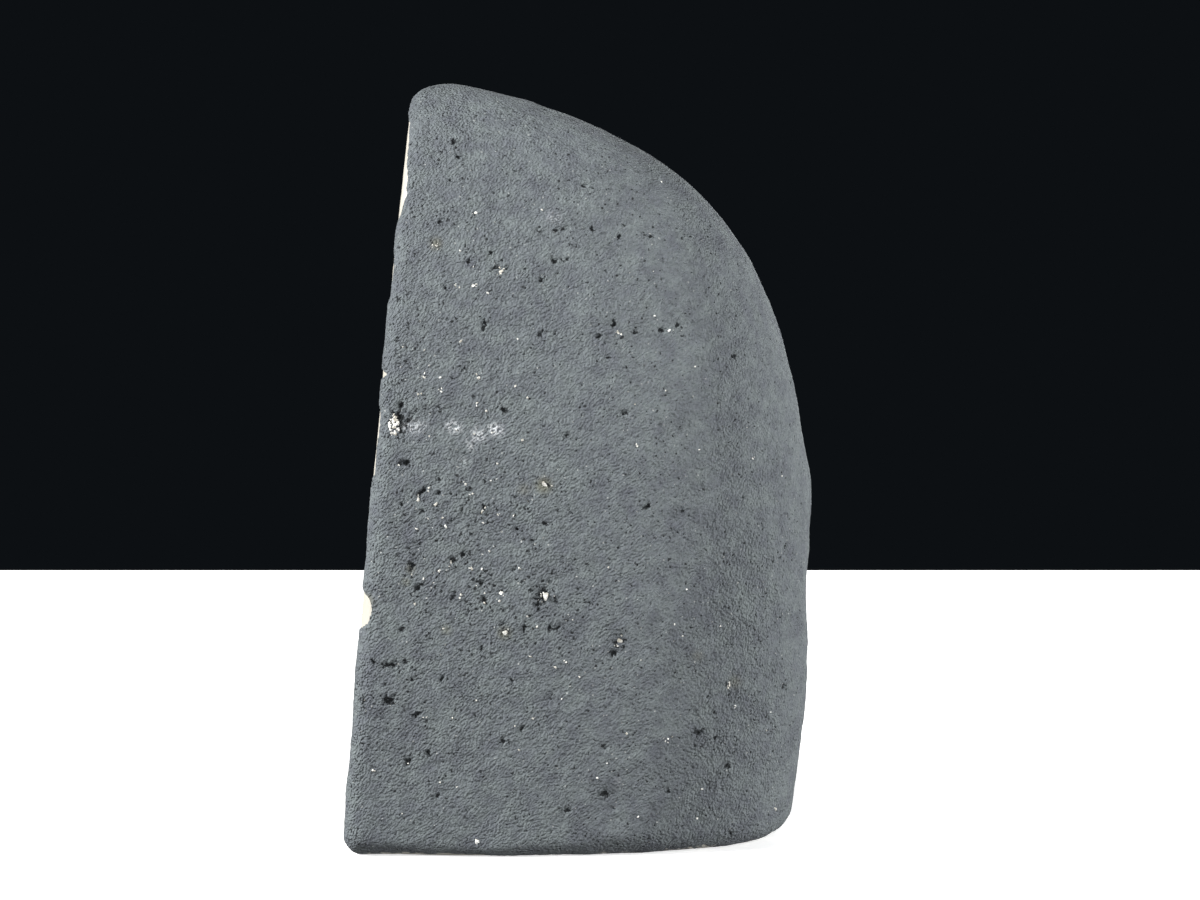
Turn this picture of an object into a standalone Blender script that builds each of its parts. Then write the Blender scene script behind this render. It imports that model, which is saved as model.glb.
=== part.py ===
"""Free-standing coated massage stone, cut flat at its foot and down one side.

A pale stone core carries a sand-textured charcoal coat over all of its rounded
surfaces. The foot and the sawn side are left bare. Pale mineral grains sit in
pits that go through the coat into the core.

Units are metres, +Z is up, and the origin is on the table below the middle of
the stone. The sawn side looks towards -X and the front towards -Y.
"""
import math

import bmesh
import bpy
from mathutils import Matrix, Vector
from mathutils.bvhtree import BVHTree

# ---------------------------------------------------------------- sizes
STONE_HEIGHT = 0.120        # foot to crown
END_REACH = 0.0577          # upright through the crown to the rounded end
HALF_DEPTH = 0.0288         # upright through the crown to the front or the back
SAW_REACH = 0.0159          # upright through the crown to the sawn side, at the foot
SAW_LEAN = math.radians(5.1)    # the sawn side leans in towards the crown
WIDEST_HEIGHT = 0.0431      # height of the widest section
FOOT_DRAW_IN = 0.0031       # how far the flanks draw in from there to the foot

PLAN_POWER = 3.1            # 2 is an ellipse, more squares the section up
DEPTH_POWER = 2.28          # the same for the front and back slopes of the crown
CROWN_FLAT = 0.113          # crown outline handles, as shares of the reach
CROWN_SHOULDER = 0.408
CROWN_DROP = 0.113          # and of the rise above the widest section
END_HANDLE = 0.95

FOOT_RADIUS_SIDE = 0.0020   # rounding at the foot, front and back
FOOT_RADIUS_END = 0.0047    # rounding at the foot, under the rounded end

COAT_THICKNESS = 0.0009
COAT_GAP = 0.0003           # clearance between the coat and the core
COAT_LIFT = 0.0008          # the coat's lower rim stands clear of the table
GRAIN_GAP = 0.0003          # clearance round a grain in its pit
GRAIN_RECESS = 0.00015      # a grain's top lies this far below the coat's skin
GRAIN_BITE = 0.35           # share of a grain's radius that lies below the core's skin

# ---------------------------------------------------------------- mesh fineness
SEGMENTS = 48
FOOT_RINGS = 3
FLANK_RINGS = 6
CROWN_RINGS = 13
PIT_SIDES = 10

# Pale grains on the front: distance from the sawn side and height, as shares of
# the width and the height there, and the radius of the grain in metres.
FRONT_GRAINS = [
    (0.055, 0.563, 0.0018),
    (0.120, 0.790, 0.0007),
    (0.175, 0.740, 0.0006),
    (0.220, 0.740, 0.0006),
    (0.240, 0.833, 0.0006),
    (0.295, 0.758, 0.0008),
    (0.580, 0.680, 0.0006),
    (0.100, 0.624, 0.0006),
    (0.145, 0.605, 0.0006),
    (0.230, 0.623, 0.0006),
    (0.120, 0.548, 0.0007),
    (0.335, 0.543, 0.0007),
    (0.105, 0.470, 0.0009),
    (0.250, 0.453, 0.0008),
    (0.390, 0.487, 0.0010),
    (0.105, 0.372, 0.0007),
    (0.185, 0.383, 0.0007),
    (0.235, 0.380, 0.0006),
    (0.300, 0.348, 0.0007),
    (0.400, 0.345, 0.0013),
    (0.315, 0.297, 0.0009),
    (0.565, 0.286, 0.0011),
    (0.810, 0.223, 0.0006),
    (0.680, 0.157, 0.0006),
]

MATERIALS = {
    "pale_stone": ((0.78, 0.76, 0.70), 0.55),
    "charcoal_coat": ((0.160, 0.175, 0.185), 0.88),
    "pale_grain": ((0.80, 0.78, 0.68), 0.60),
}

CROWN_X = (SAW_REACH - END_REACH) / 2       # the upright through the crown
CROWN_RISE = STONE_HEIGHT - WIDEST_HEIGHT


def clear_scene():
    for item in list(bpy.data.objects):
        bpy.data.objects.remove(item, do_unlink=True)


def new_collection(name):
    collection = bpy.data.collections.new(name)
    bpy.context.scene.collection.children.link(collection)
    return collection


def new_material(name):
    colour, roughness = MATERIALS[name]
    material = bpy.data.materials.new(name)
    material.use_nodes = True
    shader = material.node_tree.nodes["Principled BSDF"]
    shader.inputs["Base Color"].default_value = (*colour, 1.0)
    shader.inputs["Roughness"].default_value = roughness
    shader.inputs["Metallic"].default_value = 0.0
    material.diffuse_color = (*colour, 1.0)
    return material


def new_object(name, bm, collection, material=None):
    mesh = bpy.data.meshes.new(name)
    bm.to_mesh(mesh)
    bm.free()
    item = bpy.data.objects.new(name, mesh)
    collection.objects.link(item)
    if material:
        mesh.materials.append(material)
    return item


# ---------------------------------------------------------------- the rounded form
def crown_outline(share):
    """Reach and height on the crown's outline, from the crown (0) to the widest section (1)."""
    handles = (
        (0.0, STONE_HEIGHT),
        (CROWN_FLAT * END_REACH, STONE_HEIGHT),
        (CROWN_SHOULDER * END_REACH, STONE_HEIGHT - CROWN_DROP * CROWN_RISE),
        (END_REACH, WIDEST_HEIGHT + END_HANDLE * CROWN_RISE),
        (END_REACH, WIDEST_HEIGHT),
    )
    order = len(handles) - 1
    weights = [math.comb(order, i) * (1 - share) ** (order - i) * share ** i for i in range(order + 1)]
    reach = sum(w * h[0] for w, h in zip(weights, handles))
    height = sum(w * h[1] for w, h in zip(weights, handles))
    return reach, height


def crown_depth(height):
    """Half depth of the crown at a height above the widest section."""
    rise = min(1.0, (height - WIDEST_HEIGHT) / CROWN_RISE)
    return HALF_DEPTH * (1 - rise ** DEPTH_POWER) ** (1 / DEPTH_POWER)


def foot_radius(turn):
    """Rounding at the foot in the direction of turn, widest under the rounded end."""
    towards_end = max(0.0, math.cos(turn)) ** 2
    return FOOT_RADIUS_SIDE + (FOOT_RADIUS_END - FOOT_RADIUS_SIDE) * towards_end


def flank_draw_in(height):
    return FOOT_DRAW_IN * ((WIDEST_HEIGHT - height) / WIDEST_HEIGHT) ** 2


def section_reach(turn):
    """How far a section of unit half width and half depth reaches in the direction of turn."""
    sides = abs(math.cos(turn)) ** PLAN_POWER + abs(math.sin(turn)) ** PLAN_POWER
    return sides ** (-1 / PLAN_POWER)


def station(ring, turn):
    """Half width, half depth and height of the form on one ring, counted up from the foot."""
    if ring == 0:
        return 0.0, 0.0, 0.0
    radius = foot_radius(turn)
    if ring <= FOOT_RINGS:
        swing = (ring - 1) / FOOT_RINGS * math.pi / 2
        height = radius * (1 - math.cos(swing))
        inwards = flank_draw_in(height) + radius * (1 - math.sin(swing))
        return END_REACH - inwards, HALF_DEPTH - inwards, height
    if ring <= FOOT_RINGS + FLANK_RINGS:
        share = (ring - 1 - FOOT_RINGS) / FLANK_RINGS
        height = radius + share * (WIDEST_HEIGHT - radius)
        inwards = flank_draw_in(height)
        return END_REACH - inwards, HALF_DEPTH - inwards, height
    share = 1 - (ring - 1 - FOOT_RINGS - FLANK_RINGS) / CROWN_RINGS
    reach, height = crown_outline(share)
    return reach, crown_depth(height), height


def cobble(inset):
    """The rounded form as a ball whose rings are moved out to the outline, inset from its skin.

    The foot keeps its height, so that every inset form stands on the table.
    """
    rings = 1 + FOOT_RINGS + FLANK_RINGS + CROWN_RINGS
    bm = bmesh.new()
    bmesh.ops.create_uvsphere(bm, u_segments=SEGMENTS, v_segments=rings, radius=1.0)
    for vert in bm.verts:
        ring = round(math.acos(max(-1.0, min(1.0, -vert.co.z))) / math.pi * rings)
        turn = math.atan2(vert.co.y, vert.co.x)
        width, depth, height = station(ring, turn)
        if ring > FOOT_RINGS:
            rise = max(0.0, (height - WIDEST_HEIGHT) / CROWN_RISE)
            height -= inset * rise
        width *= 1 - inset / END_REACH
        depth *= 1 - inset / HALF_DEPTH
        reach = section_reach(turn)
        vert.co = (
            CROWN_X + width * reach * math.cos(turn),
            depth * reach * math.sin(turn),
            height,
        )
    bmesh.ops.recalc_face_normals(bm, faces=bm.faces)
    return bm


def cut_flat(bm, point, normal):
    """Cut away what lies beyond a plane and close the cut with one flat face."""
    geometry = bm.verts[:] + bm.edges[:] + bm.faces[:]
    cut = bmesh.ops.bisect_plane(
        bm, geom=geometry, dist=1e-6, plane_co=point, plane_no=normal, clear_outer=True)
    rim = [part for part in cut["geom_cut"] if isinstance(part, bmesh.types.BMEdge)]
    bmesh.ops.edgeloop_fill(bm, edges=rim)
    bmesh.ops.recalc_face_normals(bm, faces=bm.faces)


SAW_POINT = Vector((CROWN_X - SAW_REACH, 0.0, 0.0))
SAW_NORMAL = Vector((-math.cos(SAW_LEAN), 0.0, math.sin(SAW_LEAN)))


# ---------------------------------------------------------------- pieces
def make_core_form():
    bm = cobble(COAT_THICKNESS + COAT_GAP)
    cut_flat(bm, SAW_POINT, SAW_NORMAL)
    return bm


def make_coat_form():
    bm = cobble(0.0)
    cut_flat(bm, SAW_POINT, SAW_NORMAL)
    cut_flat(bm, Vector((0.0, 0.0, COAT_LIFT)), Vector((0.0, 0.0, -1.0)))
    return bm


def front_place(skin, across, up):
    """The point on the coat's front at a share of its width and height, and the way it faces."""
    height = up * STONE_HEIGHT
    left = SAW_POINT.x + height * math.tan(SAW_LEAN)
    right = CROWN_X + END_REACH
    if height > WIDEST_HEIGHT:
        low, high = 0.0, 1.0
        for _ in range(30):
            share = (low + high) / 2
            reach, level = crown_outline(share)
            low, high = (share, high) if level > height else (low, share)
        right = CROWN_X + reach
    start = Vector((left + across * (right - left), -2 * HALF_DEPTH, height))
    place, normal, _, _ = skin.ray_cast(start, Vector((0.0, 1.0, 0.0)))
    return place, normal


def grain_half_height(radius):
    """Half the height of a grain that reaches from just under the coat's skin into the core."""
    return (COAT_THICKNESS + COAT_GAP - GRAIN_RECESS + radius * GRAIN_BITE) / 2


def grain_seat(place, normal, radius):
    """Where a grain's middle lies, with the skin's outward direction as its own Z."""
    depth = GRAIN_RECESS + grain_half_height(radius)
    turned = normal.to_track_quat("Z", "Y").to_matrix().to_4x4()
    return Matrix.Translation(place - normal * depth) @ turned


def add_grain(bm, radius, seat):
    """One rounded grain."""
    size = Matrix.Diagonal((radius, radius, grain_half_height(radius), 1.0))
    bmesh.ops.create_icosphere(bm, subdivisions=2, radius=1.0, matrix=seat @ size)


def add_pit(bm, radius, seat):
    """One straight pit with a flat floor, open through the coat's skin."""
    floor = -grain_half_height(radius) - GRAIN_GAP
    mouth = grain_half_height(radius) + GRAIN_RECESS + COAT_THICKNESS
    middle = Matrix.Translation((0.0, 0.0, (floor + mouth) / 2))
    bmesh.ops.create_cone(
        bm, cap_ends=True, segments=PIT_SIDES, radius1=radius + GRAIN_GAP,
        radius2=radius + GRAIN_GAP, depth=mouth - floor, matrix=seat @ middle)


def cut_with(item, cutter):
    cut = item.modifiers.new("cut_" + cutter.name, "BOOLEAN")
    cut.operation = "DIFFERENCE"
    cut.solver = "EXACT"
    cut.object = cutter


def hide_cutter(item):
    item.hide_render = True
    item.display_type = "WIRE"


def build():
    clear_scene()
    stone = new_collection("massage_stone")
    cutters = new_collection("cutters")
    looks = {name: new_material(name) for name in MATERIALS}

    core = new_object("stone_core", make_core_form(), stone, looks["pale_stone"])
    coat = new_object("charcoal_coat", make_coat_form(), stone, looks["charcoal_coat"])
    hollow = new_object("coat_hollow", cobble(COAT_THICKNESS), cutters)
    hide_cutter(hollow)
    cut_with(coat, hollow)

    form = make_coat_form()
    skin = BVHTree.FromBMesh(form)
    form.free()
    pits = bmesh.new()
    for number, (across, up, radius) in enumerate(FRONT_GRAINS, start=1):
        seat = grain_seat(*front_place(skin, across, up), radius)
        grain = bmesh.new()
        add_grain(grain, radius, seat)
        new_object(f"pale_grain_{number:02d}", grain, stone, looks["pale_grain"])
        add_pit(pits, radius, seat)
    pit_cutter = new_object("grain_pits", pits, cutters)
    hide_cutter(pit_cutter)
    cut_with(core, pit_cutter)
    cut_with(coat, pit_cutter)


build()
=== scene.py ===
"""Coated massage stone: a pale stone core, a sand-textured charcoal coat and pale mineral grains.

The coat and the core are dense skins settled on the stone's form, with their relief in the mesh:
slow hollows and swells, pits, pores, chips and the coat's ragged end on the sawn side. The coat's
sand, the clumps it lies in and its pinholes are left to the material.
"""

import math
import random

import bmesh
import bpy
import numpy as np
from mathutils import Matrix, Vector


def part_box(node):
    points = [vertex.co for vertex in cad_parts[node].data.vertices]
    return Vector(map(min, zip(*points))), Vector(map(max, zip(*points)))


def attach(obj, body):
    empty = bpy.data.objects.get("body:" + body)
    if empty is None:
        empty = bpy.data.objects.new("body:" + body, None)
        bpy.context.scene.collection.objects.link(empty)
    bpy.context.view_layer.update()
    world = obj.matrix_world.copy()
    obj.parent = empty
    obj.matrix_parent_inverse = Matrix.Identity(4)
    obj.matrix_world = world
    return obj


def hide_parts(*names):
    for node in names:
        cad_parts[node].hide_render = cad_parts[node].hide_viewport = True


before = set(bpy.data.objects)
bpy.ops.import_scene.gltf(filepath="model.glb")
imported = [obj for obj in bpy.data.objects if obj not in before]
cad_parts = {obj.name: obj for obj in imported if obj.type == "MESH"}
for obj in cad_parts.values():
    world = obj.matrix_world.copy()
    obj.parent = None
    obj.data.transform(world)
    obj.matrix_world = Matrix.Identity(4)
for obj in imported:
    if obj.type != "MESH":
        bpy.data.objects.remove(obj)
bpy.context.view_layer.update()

MM = 0.001
SEED = 27

# ---------------------------------------------------------------- the stone's form, as in the frame
SAW_REACH = 15.9 * MM           # upright through the crown to the sawn side, at the foot
SAW_LEAN = math.radians(5.1)
WIDEST_HEIGHT = 43.1 * MM
FOOT_DRAW_IN = 3.1 * MM
PLAN_POWER = 3.1
DEPTH_POWER = 2.28
CROWN_HANDLES = ((0.0, 0.0), (0.113, 0.0), (0.408, 0.113), (1.0, 0.05), (1.0, 1.0))
FOOT_RADIUS_SIDE = 2.0 * MM
FOOT_RADIUS_END = 4.7 * MM
WORN_CORNER = 1.6 * MM          # how much more the foot is rounded at the front corner of the sawn side
WORN_CORNER_TURN = math.radians(-122)   # where it is, turned about the upright from the rounded end
SAW_EDGE_RADIUS = 2.6 * MM      # rounding between the sawn side and the front or back

core_low, core_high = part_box("stone_core")
coat_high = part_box("charcoal_coat")[1]
HEIGHT = coat_high.z
HALF_DEPTH = coat_high.y
CROWN_X = core_low.x + SAW_REACH
END_REACH = coat_high.x - CROWN_X
CROWN_RISE = HEIGHT - WIDEST_HEIGHT
SAW_POINT = np.array((core_low.x, 0.0, 0.0))
SAW_NORMAL = np.array((-math.cos(SAW_LEAN), 0.0, math.sin(SAW_LEAN)))

# ---------------------------------------------------------------- the coat
COAT_EDGE = 0.28 * MM           # thickness of the coat where it ends
COAT_HIDE = 0.9 * MM            # how far it goes under the stone past its edge
CORE_DEPTH = 1.6 * MM           # the core's skin below the coat's, away from the coat's edges
COAT_GRID = 1.25 * MM           # spacing of the coat's mesh before its skin is refined
CORE_GRID = 1.3 * MM
PORE_DEPTH = 0.40 * MM
PIT_WIDTH = 0.58                # a listed pit takes in its crumbled rim, the hollow is this share of it
PIT_DEPTH = 0.80                # the share of a listed depth that shows
STREWN_PITS = 40                # small pits on the front besides those listed, where it is open
SCATTERED_PITS = 90             # pits on the back, the end and the crown
PATCH_RADIUS = 1.6 * MM         # a grain wider than this is a streak of crumbs and not one chunk
PATCH_CRUMBS = 34
STREWN_CRUMBS = 45              # small crumbs on the front besides those listed, where it is open
SCATTERED_CRUMBS = 170          # finer crumbs all round

# Pits on the front: across from the middle, height, radius and depth in millimetres, lean of the
# long axis in degrees and how much longer it is than wide.
FRONT_PITS = [
    (-21.5, 98.5, 0.7, 0.5, 20, 1.2),
    (-20.0, 105.0, 0.6, 0.4, 0, 1.0),
    (-17.0, 92.5, 0.8, 0.6, 20, 1.4),
    (-20.5, 88.5, 0.6, 0.5, 0, 1.2),
    (-12.5, 91.5, 0.6, 0.5, 10, 2.6),
    (-6.0, 81.5, 0.7, 0.5, 0, 1.3),
    (3.0, 81.0, 0.8, 0.5, 0, 1.5),
    (8.5, 81.5, 0.7, 0.4, 10, 1.3),
    (12.5, 82.0, 0.7, 0.4, 0, 1.6),
    (15.0, 82.5, 0.6, 0.4, 0, 1.2),
    (-27.2, 70.6, 0.8, 0.9, 50, 1.8),
    (-26.5, 61.8, 1.2, 0.8, 10, 1.6),
    (-24.0, 57.5, 0.8, 0.9, 30, 2.4),
    (-9.5, 51.7, 0.6, 0.9, -30, 1.3),
    (-7.2, 50.0, 0.5, 0.6, 0, 1.0),
    (-5.2, 52.5, 0.7, 0.5, 0, 1.4),
    (10.5, 55.0, 0.9, 0.7, 30, 1.4),
    (-25.5, 46.2, 0.9, 0.8, 0, 1.3),
    (-19.6, 53.0, 0.5, 0.6, 0, 1.0),
    (-33.2, 24.8, 0.8, 0.9, 60, 1.5),
    (-29.4, 25.0, 1.5, 1.1, 10, 1.4),
    (-25.0, 23.0, 0.9, 0.8, 20, 1.5),
    (-23.8, 24.8, 0.6, 0.6, 0, 1.0),
    (-29.0, 30.6, 0.9, 0.7, 5, 2.8),
    (-31.6, 31.2, 0.6, 0.6, -40, 1.8),
    (-26.4, 15.4, 0.9, 0.8, 60, 1.6),
    (4.0, 10.2, 1.0, 0.7, 0, 1.3),
    (13.8, 10.4, 0.7, 0.4, 0, 1.2),
    (5.2, 32.4, 0.6, 0.7, 60, 2.6),
    (32.0, 25.6, 0.9, 0.6, 20, 1.5),
    (18.2, 19.6, 1.0, 0.6, 0, 1.8),
    (21.0, 18.6, 0.6, 0.5, 0, 1.2),
    (23.0, 13.9, 0.9, 0.5, 0, 1.1),
    (-15.0, 33.0, 0.5, 0.5, 0, 1.0),
    (-2.0, 66.0, 0.6, 0.4, 20, 1.4),
]
# Small grains on the front, besides those of the frame: across, height and radius.
FRONT_SMALL_GRAINS = [
    (-20.5, 52.2, 0.35), (-18.1, 41.6, 0.40), (-12.6, 40.9, 0.35), (-8.0, 38.3, 0.35),
    (-6.5, 36.7, 0.35), (-2.0, 31.1, 0.30), (-15.6, 71.0, 0.35), (-24.6, 72.3, 0.30),
    (-23.7, 79.0, 0.30), (-17.4, 58.6, 0.30), (-16.6, 57.0, 0.35), (-10.0, 53.8, 0.25),
    (-9.2, 45.7, 0.30), (-21.9, 55.5, 0.45), (-23.0, 58.0, 0.35), (-21.5, 45.2, 0.30),
    (24.2, 23.4, 0.30), (-24.0, 22.5, 0.35), (-31.8, 14.1, 0.35), (31.1, 5.6, 0.40),
    (18.3, 5.8, 0.30), (-15.9, 2.8, 0.45), (26.9, 61.9, 0.25), (8.9, 64.3, 0.30),
    (-27.0, 79.5, 0.25), (-13.3, 66.5, 0.25), (-14.5, 60.0, 0.25), (-5.5, 58.9, 0.30),
]
# Slow swells and hollows that the hand finds: place, reach and height in millimetres.
SWELLS = [
    ((36.0, -6.0, 56.0), 9.0, 0.55),
    ((36.5, -6.0, 39.0), 8.0, -0.50),
    ((34.0, -4.0, 22.0), 8.0, 0.25),
    ((-8.0, -6.0, 119.0), 7.0, 0.25),
    ((9.0, -6.0, 112.0), 7.0, -0.20),
    ((-34.5, -22.0, 29.0), 5.0, 0.30),
    ((-36.5, -22.0, 10.0), 5.0, 0.30),
]
# Where the coat ends beside the sawn side, on the front: height, and how far on from the middle of
# the rounded edge, below 0 where the coat laps onto the sawn side, in millimetres.
FRONT_COAT_END = [
    (0, -5.0), (35.5, -3.8), (37.2, 0.5), (39.3, 1.4), (41.0, 0.2), (43.0, -3.4), (58.0, -3.0),
    (60.0, -1.3), (69.0, -1.1), (71.0, -2.8), (74.5, -2.6), (75.3, -0.2), (76.0, -2.6), (86.0, -2.8),
    (87.0, -1.4), (93.0, -1.3), (95.0, -2.5), (98.0, -2.3), (99.5, -0.9), (103.0, 0.3), (108.0, -0.3),
    (113.5, -0.9), (115.0, -2.6), (120.0, -3.0),
]
BACK_COAT_END = -3.0            # the same on the back, at any height
# Chalky scuffs on the front: across, height, reach across, reach up in millimetres, and strength.
CHALK_SCUFFS = [
    (-25.2, 67.4, 3.2, 1.6, 0.45),
    (-19.2, 67.3, 1.7, 1.3, 0.95),
    (-15.4, 66.2, 1.6, 1.6, 0.85),
    (-12.8, 66.9, 1.7, 1.5, 1.0),
    (-16.6, 64.6, 0.8, 1.5, 0.45),
    (-17.6, 61.8, 1.0, 1.2, 0.3),
    (-4.0, 99.2, 1.8, 1.2, 0.35),
    (6.0, 12.0, 0.5, 2.4, 0.3),
]
# Iron-brown and olive stains round open spots: across, height, reach and strength.
STAINS = [
    (-22.0, 95.2, 1.5, 0.8),
    (-5.4, 58.4, 2.0, 1.0),
    (-8.4, 57.8, 1.5, 0.5),
    (-11.5, 35.7, 1.6, 0.8),
    (-20.4, 36.2, 1.2, 0.6),
    (-32.6, 40.6, 1.6, 0.9),
    (-25.8, 45.6, 1.2, 0.6),
    (-26.5, 43.6, 1.0, 0.6),
    (24.2, 27.2, 1.6, 0.5),
    (18.3, 31.6, 1.4, 0.4),
]
# Soft weights for how open the coat's surface is on the front: across, height, reach, strength.
OPEN_PATCHES = [
    (-22.0, 72.0, 20.0, 0.5),
    (-16.0, 46.0, 22.0, 0.9),
    (-6.0, 40.0, 22.0, 0.7),
    (-24.0, 24.0, 16.0, 0.7),
    (6.0, 24.0, 26.0, 0.35),
    (-12.0, 96.0, 16.0, 0.35),
]


def bump(distance, reach):
    """1 in the middle, falling smoothly to 0 at reach."""
    share = np.clip(1 - (distance / reach) ** 2, 0, 1)
    return share * share


def smooth_step(low, high, value):
    share = np.clip((value - low) / (high - low), 0, 1)
    return share * share * (3 - 2 * share)


# ---------------------------------------------------------------- form
def crown_curve():
    """Heights and reaches along the crown's outline, a curve drawn by five handles."""
    share = np.linspace(1, 0, 500)
    order = len(CROWN_HANDLES) - 1
    weights = [math.comb(order, i) * (1 - share) ** (order - i) * share ** i for i in range(order + 1)]
    reach = sum(w * h[0] for w, h in zip(weights, CROWN_HANDLES)) * END_REACH
    drop = sum(w * h[1] for w, h in zip(weights, CROWN_HANDLES)) * CROWN_RISE
    return HEIGHT - drop, reach


CURVE_HEIGHTS, CURVE_REACHES = crown_curve()


def fullness(p):
    """Above 0 outside the rounded form and below 0 inside it."""
    z = np.minimum(p[:, 2], HEIGHT - 1e-7)
    drawn_in = FOOT_DRAW_IN * np.clip((WIDEST_HEIGHT - z) / WIDEST_HEIGHT, 0, None) ** 2
    rise = np.clip((z - WIDEST_HEIGHT) / CROWN_RISE, 0, 1)
    width = np.interp(z, CURVE_HEIGHTS, CURVE_REACHES) - drawn_in
    depth = HALF_DEPTH * (1 - rise ** DEPTH_POWER) ** (1 / DEPTH_POWER) - drawn_in
    across = np.abs(p[:, 0] - CROWN_X) / np.maximum(width, 1e-6)
    along = np.abs(p[:, 1]) / np.maximum(depth, 1e-6)
    return (across ** PLAN_POWER + along ** PLAN_POWER) ** (1 / PLAN_POWER) - 1


def skin_distance(p):
    """Distance from the rounded form's skin, negative inside."""
    step = 0.02 * MM
    slopes = []
    for axis in range(3):
        shift = np.zeros(3)
        shift[axis] = step
        slopes.append((fullness(p + shift) - fullness(p - shift)) / (2 * step))
    steepness = np.sqrt(sum(s * s for s in slopes))
    return fullness(p) / np.maximum(steepness, 1.0)


def rounded_corner(first, second, radius):
    """Distance from where two bodies overlap, with the edge between them rounded."""
    outside = np.hypot(np.maximum(first + radius, 0), np.maximum(second + radius, 0))
    return np.minimum(np.maximum(first, second), -radius) + outside


def saw_distance(p):
    return (p - SAW_POINT) @ SAW_NORMAL


def foot_radius(p):
    turn = np.arctan2(p[:, 1], p[:, 0] - CROWN_X)
    worn = WORN_CORNER * bump(turn - WORN_CORNER_TURN, math.radians(45))
    return FOOT_RADIUS_SIDE + (FOOT_RADIUS_END - FOOT_RADIUS_SIDE) * np.clip(np.cos(turn), 0, 1) ** 2 + worn


def stone_distance(p, inset=0.0, saw_lift=0.0, edge=SAW_EDGE_RADIUS):
    """Distance from the stone's surface: the rounded skin, the sawn side and the foot."""
    body = rounded_corner(skin_distance(p) + inset, saw_distance(p) - saw_lift, edge)
    return rounded_corner(body, -p[:, 2], np.maximum(foot_radius(p) - inset, 0.3 * MM))


def outward(p, distance):
    """Unit normals of the surface of a distance function at points on it."""
    step = 0.05 * MM
    slopes = np.empty_like(p)
    for axis in range(3):
        shift = np.zeros(3)
        shift[axis] = step
        slopes[:, axis] = distance(p + shift) - distance(p - shift)
    return slopes / np.linalg.norm(slopes, axis=1, keepdims=True)


def settle(p, distance, rounds=3):
    """Moves points that are already close onto the surface."""
    for _ in range(rounds):
        step = np.clip(distance(p), -0.2 * MM, 0.2 * MM)
        p = p - outward(p, distance) * step[:, None]
    return p


def points_of(bm):
    return np.array([v.co for v in bm.verts], float)


def move_to(bm, points):
    for vert, place in zip(bm.verts, points):
        vert.co = place


def box_grid(spacing):
    """A closed box round the stone, its sides cut into squares of one spacing."""
    size = core_high - core_low
    middle = (core_high + core_low) / 2
    bm = bmesh.new()
    bmesh.ops.create_cube(bm, size=1.0)
    bmesh.ops.scale(bm, vec=size, verts=bm.verts)
    for axis in range(3):
        along = [e for e in bm.edges if abs((e.verts[0].co - e.verts[1].co)[axis]) > spacing]
        cuts = max(1, round(size[axis] / spacing)) - 1
        bmesh.ops.subdivide_edges(bm, edges=along, cuts=cuts, use_grid_fill=True)
    bmesh.ops.translate(bm, vec=middle, verts=bm.verts)
    return bm


def wrap(bm, distance):
    """Draws a box grid onto the surface, outwards from a smaller box inside the stone."""
    points = points_of(bm)
    low, high = np.array(core_low), np.array(core_high)
    margin = 0.42 * (high[1] - low[1])
    start = np.clip(points, low + margin, high - margin)
    way = points - start
    way /= np.linalg.norm(way, axis=1, keepdims=True)
    near, far = np.zeros(len(points)), np.full(len(points), HEIGHT)
    for _ in range(24):
        middle = (near + far) / 2
        inside = distance(start + way * middle[:, None]) < 0
        near, far = np.where(inside, middle, near), np.where(inside, far, middle)
    move_to(bm, start + way * near[:, None])
    bm.normal_update()


def refine(bm, distance, wanted):
    """Halves the mesh where wanted says so of the middles of faces, and settles it again."""
    middles = np.array([f.calc_center_median() for f in bm.faces])
    chosen = wanted(middles)
    edges = {e for face, take in zip(bm.faces, chosen) if take for e in face.edges}
    bmesh.ops.subdivide_edges(bm, edges=list(edges), cuts=1, use_grid_fill=True)
    move_to(bm, settle(points_of(bm), distance, 2))
    bm.normal_update()


# ---------------------------------------------------------------- relief
NOISE_CELLS = 256
noise_maker = np.random.default_rng(SEED)
SHUFFLED = noise_maker.permutation(NOISE_CELLS)
LEANINGS = noise_maker.normal(size=(NOISE_CELLS, 3))
LEANINGS /= np.linalg.norm(LEANINGS, axis=1, keepdims=True)


def plain_noise(spots):
    """Gradient noise on a grid of cells one across, from about -1 to 1."""
    cell = np.floor(spots).astype(int)
    inside = spots - cell
    ease = inside ** 3 * (inside * (inside * 6 - 15) + 10)
    total = np.zeros(len(spots))
    for corner in np.ndindex(2, 2, 2):
        x, y, z = (cell + corner).T % NOISE_CELLS
        key = SHUFFLED[(SHUFFLED[(SHUFFLED[x] + y) % NOISE_CELLS] + z) % NOISE_CELLS]
        pull = (LEANINGS[key] * (inside - corner)).sum(axis=1)
        total += pull * np.where(corner, ease, 1 - ease).prod(axis=1)
    return total * 1.6


def rough(points, size, octaves=1, shift=0.0):
    """Smooth noise from about -1 to 1 whose swells are size across, each octave half the last.

    A shift of its own keeps one noise from lining up with another.
    """
    total = np.zeros(len(points))
    for octave in range(octaves):
        total += plain_noise(points / size * 2 ** octave + shift + 17.3 * octave) / 2 ** octave
    return total


def place_on_skin(across, height, side=-1):
    """The point on the front (-1) or the back (1) at a place across and a height, in metres."""
    start = np.array([[across, 0.0, height]])
    end = np.array([[across, side * HALF_DEPTH * 1.2, height]])
    for _ in range(30):
        middle = (start + end) / 2
        if stone_distance(middle)[0] < 0:
            start = middle
        else:
            end = middle
    return start[0]


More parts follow.
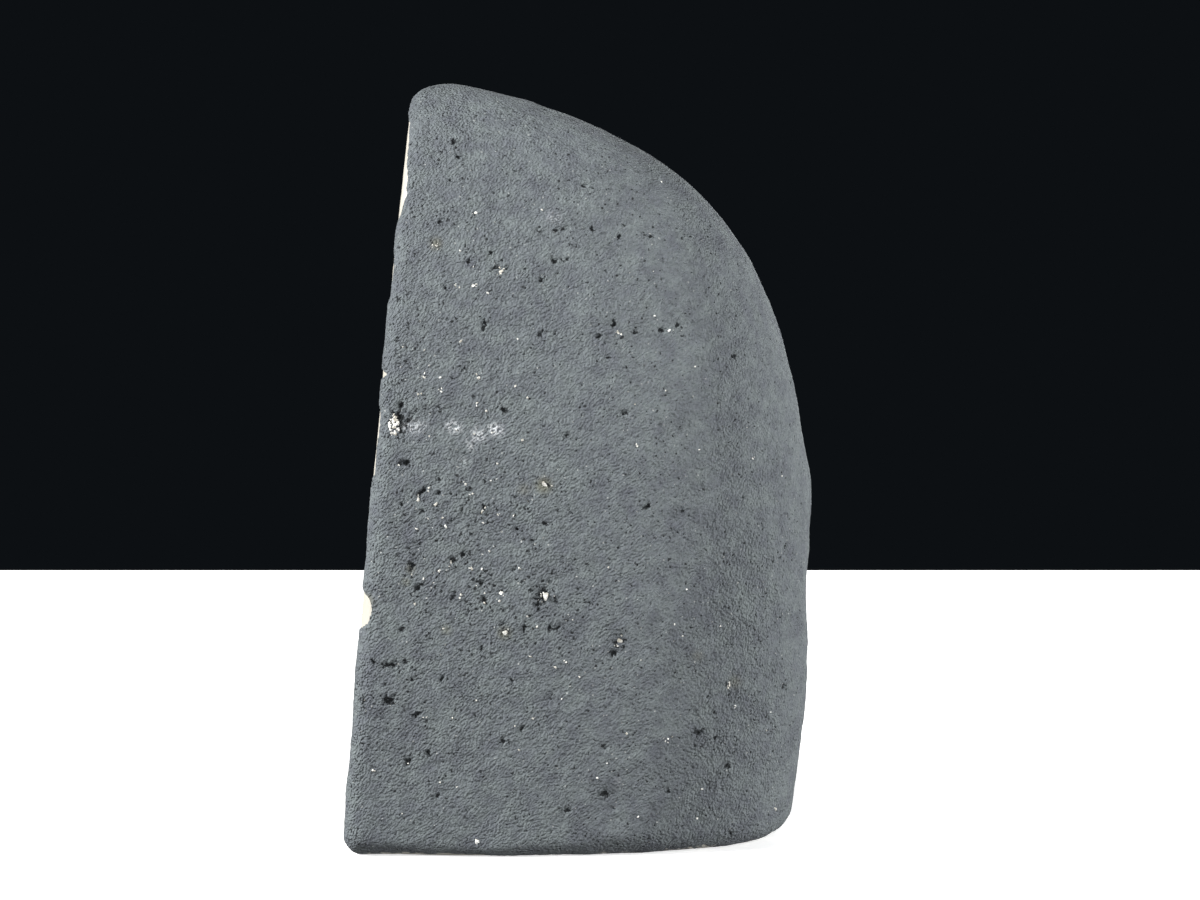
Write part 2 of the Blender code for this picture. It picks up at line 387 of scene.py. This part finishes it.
class Pit:
    """One hollow in the coat, an oval with a ragged rim."""

    def __init__(self, place, radius, depth, lean=0.0, stretch=1.0):
        self.place = np.array(place, float)
        self.radius = radius
        self.depth = depth
        self.lean = lean
        self.stretch = stretch

    def share(self, points, raggedness):
        """0 at the middle of the pit and 1 at its rim."""
        off = points - self.place
        along = off @ np.array((math.cos(self.lean), 0.0, math.sin(self.lean)))
        length = np.sqrt((off * off).sum(axis=1) - along * along * (1 - self.stretch ** -2))
        return length / self.radius * (1 + 0.8 * raggedness)


def front_pits():
    pits = []
    for across, height, radius, depth, lean, stretch in FRONT_PITS:
        place = place_on_skin(across * MM, height * MM)
        width, deep = radius * PIT_WIDTH * MM, depth * PIT_DEPTH * MM
        pits.append(Pit(place, width, deep, math.radians(lean), stretch))
    return pits


def strewn_places(rng, count):
    """Random places on the front, more of them where its surface is open."""
    places = []
    while len(places) < count:
        across = rng.uniform(-29, 30) * MM
        height = rng.uniform(3, 112) * MM
        place = place_on_skin(across, height)
        clear_of_edges = abs(place[1]) > 8 * MM and -saw_distance(place[None])[0] > 3.5 * MM
        if clear_of_edges and rng.random() < openness(place[None])[0] ** 2:
            places.append(place)
    return places


def strewn_front_pits(rng):
    pits = []
    for place in strewn_places(rng, STREWN_PITS):
        radius = rng.uniform(0.30, 0.48) * MM
        lean = rng.uniform(0, math.pi)
        stretch = rng.choice((1.0, 1.2, 1.6, 2.0))
        pits.append(Pit(place, radius, radius * 0.95, lean, stretch))
    return pits


def scattered_pits(rng, points, normals):
    """Pits over the back, the end and the crown, more of them low down and near the sawn side."""
    pits = []
    while len(pits) < SCATTERED_PITS:
        pick = rng.randrange(len(points))
        place, normal = points[pick], normals[pick]
        on_front = normal[1] < -0.3
        chance = 0.25 + 0.75 * (place[0] < 0.0) * (place[2] < 0.7 * HEIGHT)
        if saw_distance(place[None])[0] > -1.5 * MM or place[2] < 3 * MM or on_front:
            continue
        if rng.random() > chance:
            continue
        radius = rng.uniform(0.4, 0.8) * MM
        if rng.random() < 0.15:
            radius *= 1.6
        pits.append(Pit(place, radius, radius * rng.uniform(0.6, 1.0), rng.uniform(0, math.pi),
                        rng.choice((1.0, 1.2, 1.6, 2.2))))
    return pits


def grain_seats():
    """Middle and half width of each pale grain of the frame, by its node's name."""
    seats = {}
    for name in sorted(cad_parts):
        if name.startswith("pale_grain_"):
            low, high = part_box(name)
            seats[name] = ((low + high) / 2, max(high - low) / 2)
    return seats


def edge_place(p):
    """0 in the middle of the rounded edge, above 0 on the rounded skin, below 0 on the sawn side."""
    return skin_distance(p) - saw_distance(p)


def coat_end(p, ragged):
    """Where the coat ends beside the sawn side, in the terms of edge_place."""
    heights, ends = np.array(FRONT_COAT_END, float).T
    front = np.interp(p[:, 2] / MM, heights, ends) + 0.35 * ragged
    back = BACK_COAT_END + 1.2 * ragged
    return np.where(p[:, 1] < 0, front, back) * MM


def past_coat_end(points):
    """How far each point lies past the end of the coat, on the core's side of it."""
    ragged = rough(points, 3.2 * MM, 3, 37.0) + 0.5 * rough(points, 1.6 * MM, 2, 23.0)
    return coat_end(points, ragged) - edge_place(points)


def openness(points):
    """How open the surface is: 0 where the coat is close and smooth, 1 where it is full of pores."""
    weight = np.full(len(points), 0.35)
    front = points[:, 1] < 0
    for across, height, reach, strength in OPEN_PATCHES:
        away = np.hypot(points[:, 0] - across * MM, points[:, 2] - height * MM)
        weight = np.maximum(weight, np.where(front, bump(away, reach * MM * 1.4) * strength, 0))
    smooth_end = smooth_step(8 * MM, 30 * MM, points[:, 0]) * smooth_step(35 * MM, 70 * MM, points[:, 2])
    return weight * (1 - 0.8 * smooth_end)


def pore_depth(points):
    """0 on the close coat, rising to 1 in the middle of a pore."""
    field = rough(points, 1.05 * MM, 2, 71.0) + 0.3 * rough(points, 6 * MM, 2, 83.0)
    edge = 1.02 - 0.24 * openness(points)
    return np.clip((field - edge) / 0.16, -1, 1)


def slow_relief(points):
    """The swells and hollows that coat, core and grains share."""
    height = 0.20 * MM * rough(points, 16 * MM, 2)
    for place, reach, lift in SWELLS:
        away = np.linalg.norm(points - np.array(place) * MM, axis=1)
        height += bump(away, reach * MM) * lift * MM
    return height


def painted(points, spots):
    """Strength of soft round or oval marks on the front, the greatest of them at each point."""
    out = np.zeros(len(points))
    for across, height, *reaches, strength in spots:
        off_across = (points[:, 0] - across * MM) / (reaches[0] * MM)
        off_up = (points[:, 2] - height * MM) / (reaches[-1] * MM)
        mark = bump(np.hypot(off_across, off_up), 1.0) * strength
        out = np.maximum(out, np.where(points[:, 1] < 0, mark, 0))
    return out


def core_deepness(points):
    """0 beside the sawn side, where the core lies right under the coat, and 1 away from it."""
    off_the_edge = smooth_step(1.6 * MM, 3.2 * MM, edge_place(points))
    return off_the_edge * smooth_step(1.2 * MM, 3.0 * MM, points[:, 2])


def coat_relief(points, pits):
    """Height of the coat above the plain form, and what each point is like, by attribute name."""
    medium = rough(points, 4.5 * MM, 2, 11.0)
    small = rough(points, 1.6 * MM, 2, 23.0)
    sand = rough(points, 0.55 * MM, 1, 29.0)
    height = slow_relief(points) + (0.09 * medium + 0.045 * small + 0.06 * sand) * MM
    ragged_rim = np.clip(rough(points, 0.5 * MM, 2, 61.0), -0.8, 0.8)
    hollow = np.clip(pore_depth(points), 0, 1)
    sunk = hollow * PORE_DEPTH
    for pit in pits:
        share = pit.share(points, ragged_rim)
        inside = 1 - smooth_step(0.35, 1.0, share)
        sunk += inside * pit.depth * (0.8 + 0.5 * ragged_rim)
        height += 0.05 * MM * bump(share - 1.25, 0.4)
        hollow = np.maximum(hollow, inside)
    # No pit goes down to the core. Past its end the coat dives under the core's surface.
    room = 0.8 * (COAT_EDGE + CORE_DEPTH * core_deepness(points))
    height -= np.minimum(sunk, room)
    height -= smooth_step(-0.16 * MM, 0.26 * MM, past_coat_end(points)) * (COAT_EDGE + COAT_HIDE)
    # So it does where it is chipped along the foot, and all over the underside.
    chipped = np.clip(rough(points, 2.2 * MM, 2, 51.0) - 0.55, 0, 1)
    rim = (1.6 * chipped - 0.12) * MM
    off_the_rim = smooth_step(0.15 * MM, -0.1 * MM, points[:, 2] - rim)
    underneath = smooth_step(-0.4 * MM, 0.2 * MM, -skin_distance(points) - foot_radius(points))
    off_the_rim = np.maximum(off_the_rim, underneath * (points[:, 2] < 0.5 * MM))
    height -= off_the_rim * (COAT_EDGE + COAT_HIDE)
    # In the material, hollow carries painted shade into pits and pores; open, chalk and stain are the coat's
    # own surface.
    looks = {
        "hollow": hollow,
        "open": openness(points),
        "chalk": painted(points, CHALK_SCUFFS),
        "stain": painted(points, STAINS),
    }
    return height, looks


# ---------------------------------------------------------------- pieces
def new_piece(name, bm, material, replaced=()):
    mesh = bpy.data.meshes.new(name)
    bm.to_mesh(mesh)
    bm.free()
    piece = bpy.data.objects.new(name, mesh)
    bpy.context.scene.collection.objects.link(piece)
    mesh.materials.append(material)
    mesh.shade_smooth()
    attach(piece, "root")
    if replaced:
        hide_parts(*replaced)
    return piece


def write_attributes(piece, values):
    for name, numbers in values.items():
        layer = piece.data.attributes.new(name, "FLOAT", "POINT")
        layer.data.foreach_set("value", numbers.astype(np.float32))


def coat_distance(p):
    return stone_distance(p, saw_lift=COAT_EDGE)


def make_coat(material, rng, seats):
    """The coat: finest in the front's pits, finer in other hollows and along its end than elsewhere."""
    bm = box_grid(COAT_GRID)
    wrap(bm, coat_distance)
    refine(bm, coat_distance, lambda at: (edge_place(at) > -4 * MM) & (at[:, 2] > 0.2 * MM))
    fine_pits = front_pits() + strewn_front_pits(rng)
    pits = list(fine_pits)
    for place, radius in seats.values():
        shift = Vector((-0.25, 0.0, 0.25)) * radius     # the grain sits at the lower right of its pit
        pits.append(Pit(place + shift, radius * 1.2, radius * 0.75))
    points = points_of(bm)
    pits += scattered_pits(rng, points, outward(points, coat_distance))

    def by_a_hollow(middles):
        near = pore_depth(middles) > -0.1
        near &= (edge_place(middles) > -3 * MM) & (middles[:, 2] > 0.3 * MM)
        for pit in pits:
            near |= pit.share(middles, 0.0) < 1.4
        return near | ((np.abs(past_coat_end(middles)) < 0.8 * MM) & (middles[:, 2] > 1 * MM))

    def in_a_fine_pit(middles):
        near = np.zeros(len(middles), bool)
        for pit in fine_pits:
            near |= pit.share(middles, 0.0) < 1.15
        return near

    refine(bm, coat_distance, by_a_hollow)
    refine(bm, coat_distance, in_a_fine_pit)
    points = points_of(bm)
    height, looks = coat_relief(points, pits)
    move_to(bm, points + outward(points, coat_distance) * height[:, None])
    piece = new_piece("coat_skin", bm, material, ["charcoal_coat"])
    write_attributes(piece, looks)


def core_distance(p):
    return stone_distance(p, inset=COAT_EDGE, edge=SAW_EDGE_RADIUS - COAT_EDGE)


def make_core(material):
    bm = box_grid(CORE_GRID)
    wrap(bm, core_distance)
    refine(bm, core_distance, lambda at: np.abs(edge_place(at)) < 5 * MM)
    points = points_of(bm)
    height = slow_relief(points) * smooth_step(-6 * MM, -3 * MM, edge_place(points))
    height -= core_deepness(points) * CORE_DEPTH
    above_foot = smooth_step(0.2 * MM, 1.0 * MM, points[:, 2])
    height += 0.03 * MM * rough(points, 2.4 * MM, 2, 5.0) * above_foot
    height[points[:, 2] < 0.2 * MM] = 0.0
    move_to(bm, points + outward(points, core_distance) * height[:, None])
    new_piece("core_stone", bm, material, ["stone_core"])


def add_chunk(bm, rng, place, radius, outwards, fine=False):
    """One angular crystal chunk: a small ball knocked out of round, with a few flats cut."""
    turn = outwards.to_track_quat("Z", "Y").to_matrix().to_4x4()
    verts = bmesh.ops.create_icosphere(bm, subdivisions=2 if fine else 1, radius=1.0)["verts"]
    flats = [Vector((rng.gauss(0, 1), rng.gauss(0, 1), rng.gauss(0, 1))).normalized() for _ in range(7)]
    for vert in verts:
        vert.co *= rng.uniform(0.86, 1.1)
        for flat in flats:
            vert.co -= flat * max(0.0, vert.co.dot(flat) - 0.45)
    stretch = Matrix.Diagonal((rng.uniform(0.7, 1.0), rng.uniform(0.9, 1.3), rng.uniform(0.7, 0.95), 1.0))
    spin = Matrix.Rotation(rng.uniform(0, math.pi), 4, "Z")
    grow = Matrix.Scale(radius, 4)
    bmesh.ops.transform(bm, matrix=Matrix.Translation(place) @ turn @ spin @ grow @ stretch, verts=verts)


def beside(rng, place, outwards, spread, stretch_up=1.0):
    """A place near another on the stone's surface, within spread of it."""
    turn = rng.uniform(0, 2 * math.pi)
    away = spread * math.sqrt(rng.random())
    up = Vector((0, 0, 1)) - outwards * outwards.z
    sideways = outwards.cross(up)
    return place + sideways * away * math.cos(turn) + up * away * math.sin(turn) * stretch_up


def on_surface(place, sunk=0.0):
    """The point of the coat's surface over or under a place, sunk by a depth, and the way out there."""
    at = np.array([place])
    outwards = Vector(outward(at, stone_distance)[0])
    lift = slow_relief(at)[0] - stone_distance(at)[0] - sunk
    return Vector(place) + outwards * lift, outwards


def make_grains(material, rng, seats):
    """The broken grains that show as pale specks: each is a chunk with crumbs round it, in a pit."""
    for name, (place, radius) in seats.items():
        bm = bmesh.new()
        if radius > PATCH_RADIUS:
            spot, outwards = on_surface(place - Vector((1.1 * MM, 0, 0)), 0.20 * MM)
            for _ in range(PATCH_CRUMBS):
                crumb = beside(rng, spot, outwards, 0.75 * MM, 2.6)
                add_chunk(bm, rng, crumb, rng.uniform(0.25, 0.50) * MM, outwards)
        else:
            spot, outwards = on_surface(place, 0.20 * radius)
            add_chunk(bm, rng, spot, radius * 0.62, outwards, fine=True)
            for _ in range(4 + round(radius / (0.25 * MM))):
                crumb = beside(rng, spot, outwards, radius * 1.1)
                add_chunk(bm, rng, crumb, rng.uniform(0.16, 0.34) * MM, outwards)
        piece = new_piece(name.replace("pale_grain", "grain_chunk"), bm, material, [name])
        piece.data.shade_flat()


def make_small_grains(material, rng):
    """Crumbs too small for a solid of their own: the front's, and finer ones all round."""
    bm = bmesh.new()
    for across, height, radius in FRONT_SMALL_GRAINS:
        spot, outwards = on_surface(place_on_skin(across * MM, height * MM), 0.05 * MM)
        add_chunk(bm, rng, spot, radius * MM, outwards)
        crumb = beside(rng, spot, outwards, 0.5 * MM)
        add_chunk(bm, rng, crumb, radius * 0.7 * MM, outwards)
    for place in strewn_places(rng, STREWN_CRUMBS):
        spot, outwards = on_surface(place, 0.05 * MM)
        add_chunk(bm, rng, spot, rng.uniform(0.20, 0.36) * MM, outwards)
    for _ in range(SCATTERED_CRUMBS):
        across = rng.uniform(-0.9, 0.9) * END_REACH + CROWN_X * 0.4
        height = rng.uniform(0.03, 0.9) * HEIGHT
        side = rng.choice((-1, 1, 1))
        place = place_on_skin(across, height, side)
        if abs(place[1]) > 8 * MM and -saw_distance(place[None])[0] > 3 * MM:
            spot, outwards = on_surface(place, 0.02 * MM)
            add_chunk(bm, rng, spot, rng.uniform(0.16, 0.32) * MM, outwards)
    piece = new_piece("small_grains", bm, material)
    piece.data.shade_flat()


# ---------------------------------------------------------------- materials
def linear(hex_colour):
    """An sRGB hex colour as linear red, green, blue and alpha."""
    out = []
    for i in (1, 3, 5):
        value = int(hex_colour[i:i + 2], 16) / 255
        out.append(value / 12.92 if value <= 0.04045 else ((value + 0.055) / 1.055) ** 2.4)
    return (*out, 1.0)


def add_node(tree, kind, inputs, output=0, **settings):
    """Adds a node with its settings, fills its inputs with values or links, and returns one output."""
    item = tree.nodes.new(kind)
    for name, value in settings.items():
        setattr(item, name, value)
    for socket, value in inputs.items():
        if isinstance(value, bpy.types.NodeSocket):
            tree.links.new(value, item.inputs[socket])
        else:
            item.inputs[socket].default_value = value
    return item.outputs[output]


def new_material(name):
    material = bpy.data.materials.new(name)
    material.use_nodes = True
    tree = material.node_tree
    return material, tree, tree.nodes["Principled BSDF"]


# Kinds of node used many times over. A colour mix has its colours at inputs 6 and 7.
MATH = "ShaderNodeMath"
NOISE = "ShaderNodeTexNoise"
CELLS = "ShaderNodeTexVoronoi"
RANGE = "ShaderNodeMapRange"
MIX = "ShaderNodeMix"
MIXED = 2                       # the output that holds a colour mix

# The coat's grit. Heights and depths are plain millimetres, as the bump is one millimetre high.
SAND_SIZE = 0.31 * MM
GRAIN_SIZE = 0.30 * MM
COARSE_SAND_SIZE = 0.75 * MM
CLUMP_SIZE = 1.9 * MM
GRAIN_HEIGHT = 0.15
COARSE_SAND_HEIGHT = 0.22
CLUMP_HEIGHT = 0.45
PINHOLE_DEPTH = 0.25
PINHOLE_SPACING = 1.0 * MM
FLECK_SPACING = 1.5 * MM


def sanded_mineral_coat():
    """Mineral coating with sand in it, rolled on and left matt: a dry, gritty charcoal grey."""
    material, tree, shader = new_material("sanded_mineral_coat")
    place = add_node(tree, "ShaderNodeTexCoord", {}, "Object")
    hollow = add_node(tree, "ShaderNodeAttribute", {}, "Fac", attribute_name="hollow")
    open_share = add_node(tree, "ShaderNodeAttribute", {}, "Fac", attribute_name="open")
    chalk = add_node(tree, "ShaderNodeAttribute", {}, "Fac", attribute_name="chalk")
    stain = add_node(tree, "ShaderNodeAttribute", {}, "Fac", attribute_name="stain")

    # Relief in millimetres. The sand's grains lie a little slantwise, as the roller dragged them.
    dragged = add_node(tree, "ShaderNodeMapping", {"Vector": place, "Rotation": (0.5, -math.pi / 4, 0.0),
                                                   "Scale": (1.35, 1.0, 1.0)}, vector_type="TEXTURE")
    sand = add_node(tree, NOISE, {"Vector": dragged, "Scale": 1 / SAND_SIZE, "Detail": 0.0})
    grains = add_node(tree, CELLS, {"Vector": dragged, "Scale": 1 / GRAIN_SIZE})
    grain_tone = add_node(tree, CELLS, {"Vector": dragged, "Scale": 1 / GRAIN_SIZE}, "Color")
    coarse = add_node(tree, NOISE, {"Vector": dragged, "Scale": 1 / COARSE_SAND_SIZE, "Detail": 0.0})
    clumps = add_node(tree, NOISE, {"Vector": place, "Scale": 1 / CLUMP_SIZE, "Detail": 2.0})
    rubbed = add_node(tree, NOISE, {"Vector": place, "Scale": 1 / (4.0 * MM), "Detail": 2.0})
    rubbed = add_node(tree, RANGE, {"Value": rubbed, "From Min": 0.38, "From Max": 0.62,
                                    "To Min": 0.5, "To Max": 1.0})
    sand_height = add_node(tree, RANGE, {"Value": open_share, "From Max": 0.5,
                                         "To Min": 0.26, "To Max": 0.70})
    sand_height = add_node(tree, MATH, {0: sand_height, 1: rubbed}, operation="MULTIPLY")
    relief = add_node(tree, MATH, {0: sand, 1: sand_height}, operation="MULTIPLY")
    relief = add_node(tree, MATH, {0: grains, 1: -GRAIN_HEIGHT, 2: relief}, operation="MULTIPLY_ADD")
    relief = add_node(tree, MATH, {0: coarse, 1: COARSE_SAND_HEIGHT, 2: relief}, operation="MULTIPLY_ADD")
    relief = add_node(tree, MATH, {0: clumps, 1: CLUMP_HEIGHT, 2: relief}, operation="MULTIPLY_ADD")
    # Pinholes: the middles of cells, larger where the surface is open, with the sand's rough rim.
    hole_place = add_node(tree, NOISE, {"Vector": place, "Scale": 1 / (0.8 * MM), "Detail": 1.0}, "Color")
    hole_place = add_node(tree, "ShaderNodeVectorMath", {0: hole_place, 1: (0.5 * MM,) * 3, 2: place},
                          operation="MULTIPLY_ADD")
    holes = add_node(tree, CELLS, {"Vector": hole_place, "Scale": 1 / PINHOLE_SPACING})
    hole_size = add_node(tree, MATH, {0: open_share, 1: 0.16, 2: 0.12}, operation="MULTIPLY_ADD")
    hole_size = add_node(tree, MATH, {0: hole_size, 1: rubbed}, operation="MULTIPLY")
    pinholes = add_node(tree, MATH, {0: hole_size, 1: holes}, operation="SUBTRACT")
    pinholes = add_node(tree, MATH, {0: sand, 1: -0.5, 2: pinholes}, operation="MULTIPLY_ADD")
    pinholes = add_node(tree, RANGE, {"Value": pinholes, "From Min": -0.25, "From Max": -0.19})
    relief = add_node(tree, MATH, {0: pinholes, 1: -PINHOLE_DEPTH, 2: relief}, operation="MULTIPLY_ADD")
    facing = add_node(tree, "ShaderNodeBump", {"Strength": 1.0, "Distance": 1.0 * MM, "Height": relief})

    # Colour: a mottled grey, each grain of a tone of its own, with painted shade darkest in pinholes and
    # pits.
    mottle = add_node(tree, NOISE, {"Vector": place, "Scale": 1 / (3.0 * MM),
                                    "Detail": 4.0, "Roughness": 0.6})
    mottle = add_node(tree, RANGE, {"Value": mottle, "From Min": 0.3, "From Max": 0.7})
    colour = add_node(tree, MIX, {"Factor": mottle, 6: linear("#60646a"), 7: linear("#737a7b")}, MIXED,
                      data_type="RGBA")
    shade = add_node(tree, RANGE, {"Value": grain_tone, "To Min": 0.82, "To Max": 1.12})
    colour = add_node(tree, MIX, {"Factor": 1.0, 6: colour, 7: shade}, MIXED,
                      data_type="RGBA", blend_type="MULTIPLY")
    stain = add_node(tree, MATH, {0: stain, 1: 0.6}, operation="MULTIPLY")
    colour = add_node(tree, MIX, {"Factor": stain, 6: colour, 7: linear("#6d6a52")}, MIXED, data_type="RGBA")
    # Painted shade: the colour is darkened to near black in pits, pores and pinholes, where their own shadow
    # falls.
    painted_pit_shade = add_node(tree, MATH, {0: sand, 1: 1.6, 2: hollow}, operation="MULTIPLY_ADD")
    painted_pit_shade = add_node(tree, RANGE, {"Value": painted_pit_shade, "From Min": 1.10, "From Max": 1.55})
    painted_hollow_shade = add_node(tree, MATH, {0: painted_pit_shade, 1: pinholes}, operation="MAXIMUM")
    colour = add_node(tree, MIX, {"Factor": painted_hollow_shade, 6: colour, 7: linear("#2a2d2f")}, MIXED, data_type="RGBA")

    # Chalk caught on the high grains, and pale flecks: partly bare pale sand, partly painted glints of small
    # lit facets.
    dust = add_node(tree, NOISE, {"Vector": place, "Scale": 1 / (0.5 * MM), "Detail": 3.0})
    dust = add_node(tree, MATH, {0: dust, 1: sand}, operation="ADD")
    dust = add_node(tree, RANGE, {"Value": dust, "From Min": 0.88, "From Max": 1.14})
    dust = add_node(tree, MATH, {0: dust, 1: chalk}, operation="MULTIPLY")
    colour = add_node(tree, MIX, {"Factor": dust, 6: colour, 7: linear("#e4e7ea")}, MIXED, data_type="RGBA")
    # Pale flecks, partly bare sand and partly painted glints where small facets would catch the light.
    pale_flecks_and_glints = add_node(tree, CELLS, {"Vector": hole_place, "Scale": 1 / FLECK_SPACING})
    pale_flecks_and_glints = add_node(tree, RANGE, {"Value": pale_flecks_and_glints, "From Min": 0.10, "From Max": 0.07})
    fleck_share = add_node(tree, MATH, {0: open_share, 1: 0.8, 2: 0.1}, operation="MULTIPLY_ADD")
    pale_flecks_and_glints = add_node(tree, MATH, {0: pale_flecks_and_glints, 1: fleck_share}, operation="MULTIPLY")
    colour = add_node(tree, MIX, {"Factor": pale_flecks_and_glints, 6: colour, 7: linear("#c9cac6")}, MIXED, data_type="RGBA")

    tree.links.new(colour, shader.inputs["Base Color"])
    tree.links.new(facing, shader.inputs["Normal"])
    shader.inputs["Roughness"].default_value = 0.9
    shader.inputs["Specular IOR Level"].default_value = 0.25
    return material


def honed_pale_stone():
    """Pale limestone-like rock, sawn and honed: smooth, faintly mottled cream and grey."""
    material, tree, shader = new_material("honed_pale_stone")
    place = add_node(tree, "ShaderNodeTexCoord", {}, "Object")
    veins = add_node(tree, NOISE, {"Vector": place, "Scale": 1 / (14 * MM), "Detail": 6.0, "Distortion": 0.8})
    colour = add_node(tree, MIX, {"Factor": veins, 6: linear("#d6d2c8"), 7: linear("#a39d8f")}, MIXED,
                      data_type="RGBA")
    grain = add_node(tree, NOISE, {"Vector": place, "Scale": 1 / (0.8 * MM), "Detail": 3.0})
    facing = add_node(tree, "ShaderNodeBump", {"Strength": 0.5, "Distance": 0.05 * MM, "Height": grain})
    tree.links.new(colour, shader.inputs["Base Color"])
    tree.links.new(facing, shader.inputs["Normal"])
    shader.inputs["Roughness"].default_value = 0.5
    return material


def pale_mineral():
    """Broken mineral grains: near white and a little waxy, with yellowish grey patches."""
    material, tree, shader = new_material("pale_mineral")
    place = add_node(tree, "ShaderNodeTexCoord", {}, "Object")
    stain = add_node(tree, NOISE, {"Vector": place, "Scale": 1 / (0.7 * MM), "Detail": 3.0})
    stain = add_node(tree, RANGE, {"Value": stain, "From Min": 0.35, "From Max": 0.65})
    colour = add_node(tree, MIX, {"Factor": stain, 6: linear("#f4f4f0"), 7: linear("#b2ada0")}, MIXED,
                      data_type="RGBA")
    tree.links.new(colour, shader.inputs["Base Color"])
    shader.inputs["Roughness"].default_value = 0.45
    return material


def pale_table():
    """White acrylic table top, lit from below: it stays white where the stone's shade falls."""
    material, tree, shader = new_material("pale_table")
    shader.inputs["Base Color"].default_value = linear("#f2f2f2")
    shader.inputs["Roughness"].default_value = 0.7
    shader.inputs["Emission Color"].default_value = (1.0, 1.0, 1.0, 1.0)
    shader.inputs["Emission Strength"].default_value = 0.60
    return material


# ---------------------------------------------------------------- studio
TABLE_BACK = 0.343              # the table's far edge, behind the stone's middle
TABLE_REACH = 1.6               # from the table's middle to each edge


def make_table():
    bm = bmesh.new()
    bmesh.ops.create_grid(bm, x_segments=1, y_segments=1, size=TABLE_REACH)
    bmesh.ops.translate(bm, vec=(0.0, TABLE_BACK - TABLE_REACH, 0.0), verts=bm.verts)
    mesh = bpy.data.meshes.new("table")
    bm.to_mesh(mesh)
    bm.free()
    table = bpy.data.objects.new("table", mesh)
    mesh.materials.append(pale_table())
    bpy.context.scene.collection.objects.link(table)
    table.visible_diffuse = False       # its glow doesn't light the stone: front_fill does, more softly


def add_softbox(name, place, size, power, aim=(0.0, 0.0, 0.06)):
    data = bpy.data.lights.new(name, "AREA")
    data.shape = "RECTANGLE"
    data.size, data.size_y = size
    data.energy = power
    lamp = bpy.data.objects.new(name, data)
    lamp.location = place
    lamp.rotation_euler = (Vector(aim) - Vector(place)).to_track_quat("-Z", "Y").to_euler()
    lamp.visible_camera = False
    bpy.context.scene.collection.objects.link(lamp)


def make_lights():
    add_softbox("key_upper_left", (-1.45, -0.55, 0.86), (0.30, 0.30), 60.0)
    add_softbox("front_fill", (0.0, -0.9, 0.06), (0.5, 0.5), 4.7)
    add_softbox("fill_right", (0.8, -0.4, 0.30), (0.5, 0.5), 3.0)
    add_softbox("side_right", (0.9, -0.1, 0.10), (0.5, 0.5), 11.5)
    add_softbox("back_fill", (0.3, 0.9, 0.25), (0.5, 0.5), 3.5)
    world = bpy.data.worlds.new("dark_room")
    world.use_nodes = True
    background = world.node_tree.nodes["Background"]
    background.inputs["Color"].default_value = linear("#0d1013")
    bpy.context.scene.world = world


def make_camera():
    pitch, distance = math.radians(4.89), 0.5378
    aim = Vector((CROWN_X + 24.1 * MM, 0.0, 61.4 * MM))
    data = bpy.data.cameras.new("camera")
    data.lens, data.sensor_width = 100.0, 36.0
    camera = bpy.data.objects.new("camera", data)
    camera.location = aim + Vector((0.0, -math.cos(pitch), math.sin(pitch))) * distance
    camera.rotation_euler = (math.radians(90) - pitch, 0.0, 0.0)
    bpy.context.scene.collection.objects.link(camera)
    bpy.context.scene.camera = camera


def main():
    rng = random.Random(SEED)
    make_camera()
    seats = grain_seats()
    mineral = pale_mineral()
    make_coat(sanded_mineral_coat(), rng, seats)
    make_core(honed_pale_stone())
    make_grains(mineral, rng, seats)
    make_small_grains(mineral, rng)
    make_table()
    make_lights()
    bpy.context.scene.view_settings.view_transform = "Standard"


main()
